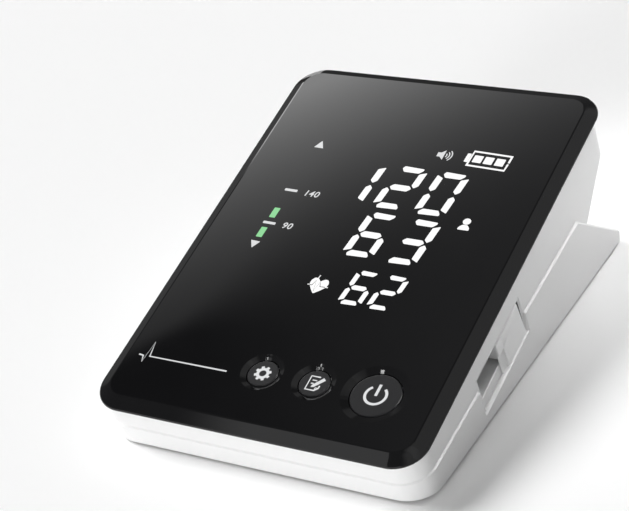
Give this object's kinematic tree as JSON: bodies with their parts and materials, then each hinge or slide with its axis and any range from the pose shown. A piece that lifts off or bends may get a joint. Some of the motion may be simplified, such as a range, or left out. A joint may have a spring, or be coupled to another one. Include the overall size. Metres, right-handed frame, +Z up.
{
  "type": "blood pressure monitor",
  "caption": "Desk-top blood pressure monitor: wedge-shaped white casing, tilted glossy black display panel, push buttons, sliding port cover, cuff-hose sockets and hinged battery door.",
  "frame": {"origin": "on the table, under the middle of the object's width and depth", "axes": "+X to the user's right, +Y to the back, +Z up; the face rises towards +Y"},
  "size_m": [0.11, 0.1536, 0.0571],
  "materials": {
    "panel_black": "polished",
    "tape_black": "foam tape",
    "casing_white": "satin moulded",
    "cover_white": "satin moulded",
    "button_black": "polished",
    "plunger_black": "moulded",
    "switch_steel": "pressed",
    "board_green": "solder resist",
    "screw_steel": "zinc plated",
    "display_black": "smooth",
    "chip_black": "moulded",
    "socket_steel": "plated",
    "fitting_white": "moulded",
    "sensor_white": "moulded",
    "pump_black": "moulded",
    "motor_steel": "plated",
    "foam_grey": "soft foam",
    "tube_silicone": "silicone",
    "speaker_black": "moulded",
    "cell_wrap": "printed wrap",
    "spring_steel": "plated",
    "foot_rubber": "matt",
    "segment_white": "lit display mark",
    "segment_green": "lit display mark",
    "icon_white": "printed sign"
  },
  "bodies": {
    "housing": {"face_panel": "panel_black", "panel_tape": "tape_black", "upper_shell": "casing_white", "base_shell": "casing_white", "tact_switches": "switch_steel", "main_board": "board_green", "board_screws": "screw_steel", "display_module": "display_black", "control_chip": "chip_black", "board_parts": "chip_black", "port_bay": "casing_white", "charging_socket": "socket_steel", "air_sockets": "fitting_white", "air_joint": "fitting_white", "pump_tee": "fitting_white", "pressure_sensors": "sensor_white", "pump_head": "pump_black", "pump_motor": "motor_steel", "pump_cradle": "foam_grey", "exhaust_valve": "motor_steel", "inflation_tube": "tube_silicone", "joint_sensor_tube": "tube_silicone", "pump_tube": "tube_silicone", "valve_tube": "tube_silicone", "supply_tube": "tube_silicone", "sensing_tube": "tube_silicone", "speaker": "speaker_black", "battery_cells": "cell_wrap", "battery_springs": "spring_steel", "battery_plates": "spring_steel", "case_screws": "screw_steel", "rubber_feet": "foot_rubber"},
    "settings": {"settings_button": "button_black", "settings_plunger": "plunger_black"},
    "memory": {"memory_button": "button_black", "memory_plunger": "plunger_black"},
    "power": {"power_button": "button_black", "power_plunger": "plunger_black"},
    "cover": {"port_cover": "cover_white"},
    "door": {"battery_door": "casing_white"}
  },
  "joints": [
    {"name": "settings_press", "type": "slide", "parent": "housing", "child": "settings", "axis": [0, 0.2588, -0.9659], "range_m": [0, 0.0006], "stiffness_N_per_m": 300},
    {"name": "memory_press", "type": "slide", "parent": "housing", "child": "memory", "axis": [0, 0.2588, -0.9659], "range_m": [0, 0.0006], "stiffness_N_per_m": 300},
    {"name": "power_press", "type": "slide", "parent": "housing", "child": "power", "axis": [0, 0.2588, -0.9659], "range_m": [0, 0.0006], "stiffness_N_per_m": 300},
    {"name": "cover_slide", "type": "slide", "parent": "housing", "child": "cover", "axis": [0, -0.9659, -0.2588], "range_m": [0, 0.0134]},
    {"name": "door_hinge", "type": "hinge", "parent": "housing", "child": "door", "pos_m": [-0.011, -0.01604, 0.0007], "axis": [-1, 0, 0], "range_deg": [0, 70]}
  ]
}
